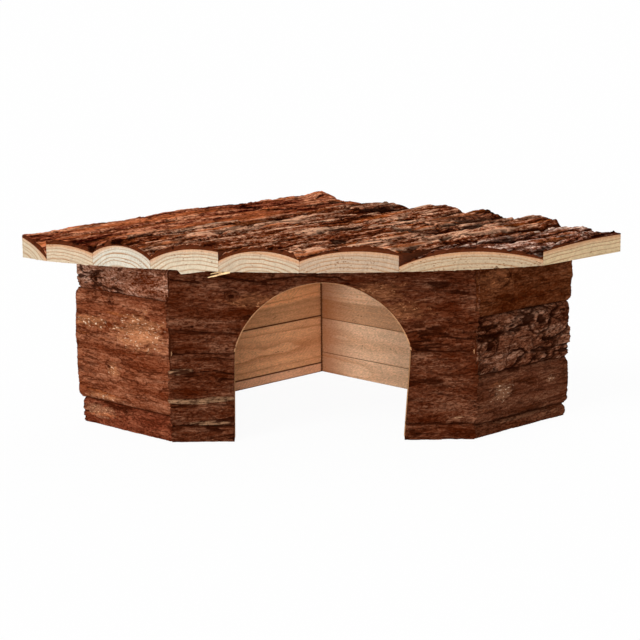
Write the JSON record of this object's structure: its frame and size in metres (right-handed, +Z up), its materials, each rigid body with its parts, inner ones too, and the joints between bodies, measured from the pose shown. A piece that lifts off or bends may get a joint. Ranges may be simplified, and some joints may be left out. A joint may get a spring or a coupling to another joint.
{
  "type": "wooden hamster house",
  "caption": "Corner house for hamsters: walls of stacked bark-covered slabs, an arched doorway in the cut-off corner, no floor, and a flat roof of half-round bark slabs.",
  "frame": {"origin": "middle of the bounding box's base: on the surface that the walls stand on, halfway across the roof's width and depth", "axes": "+Z up, the doorway faces -Y, +X to the right seen from the doorway; the long dimension runs along X"},
  "size_m": [0.3154, 0.2166, 0.1053],
  "materials": {
    "wall_wood": "sawn softwood, tan inside, unfinished",
    "wall_bark": "rough dark reddish brown bark with cracks and knots",
    "roof_wood": "pale sawn end grain with rings and a pinkish outer ring",
    "roof_bark": "rough reddish brown bark with orange streaks and grey-pink plates",
    "brad_steel": "plain steel wire"
  },
  "bodies": {
    "root": {"corner_post_left": "wall_wood", "corner_post_right": "wall_wood", "front_foot_bark_left": "wall_bark", "front_foot_bark_right": "wall_bark", "front_foot_slab_left": "wall_wood", "front_foot_slab_right": "wall_wood", "front_header_bark": "wall_bark", "front_header_slab": "wall_wood", "front_middle_bark_left": "wall_bark", "front_middle_bark_right": "wall_bark", "front_middle_slab_left": "wall_wood", "front_middle_slab_right": "wall_wood", "left_side_foot_bark": "wall_bark", "left_side_foot_slab": "wall_wood", "left_side_middle_bark": "wall_bark", "left_side_middle_slab": "wall_wood", "left_side_top_bark": "wall_bark", "left_side_top_slab": "wall_wood", "long_brads": "brad_steel", "rear_left_foot_bark": "wall_bark", "rear_left_foot_slab": "wall_wood", "rear_left_lower_bark": "wall_bark", "rear_left_lower_slab": "wall_wood", "rear_left_top_bark": "wall_bark", "rear_left_top_slab": "wall_wood", "rear_right_foot_bark": "wall_bark", "rear_right_foot_slab": "wall_wood", "rear_right_lower_bark": "wall_bark", "rear_right_lower_slab": "wall_wood", "rear_right_top_bark": "wall_bark", "rear_right_top_slab": "wall_wood", "right_side_foot_bark": "wall_bark", "right_side_foot_slab": "wall_wood", "right_side_lower_bark": "wall_bark", "right_side_lower_slab": "wall_wood", "right_side_middle_bark": "wall_bark", "right_side_middle_slab": "wall_wood", "right_side_top_bark": "wall_bark", "right_side_top_slab": "wall_wood", "roof_bark_1": "roof_bark", "roof_bark_2": "roof_bark", "roof_bark_3": "roof_bark", "roof_bark_4": "roof_bark", "roof_bark_5": "roof_bark", "roof_bark_6": "roof_bark", "roof_bark_7": "roof_bark", "roof_bark_8": "roof_bark", "roof_slab_1": "roof_wood", "roof_slab_2": "roof_wood", "roof_slab_3": "roof_wood", "roof_slab_4": "roof_wood", "roof_slab_5": "roof_wood", "roof_slab_6": "roof_wood", "roof_slab_7": "roof_wood", "roof_slab_8": "roof_wood", "short_brads": "brad_steel"}
  },
  "joints": []
}
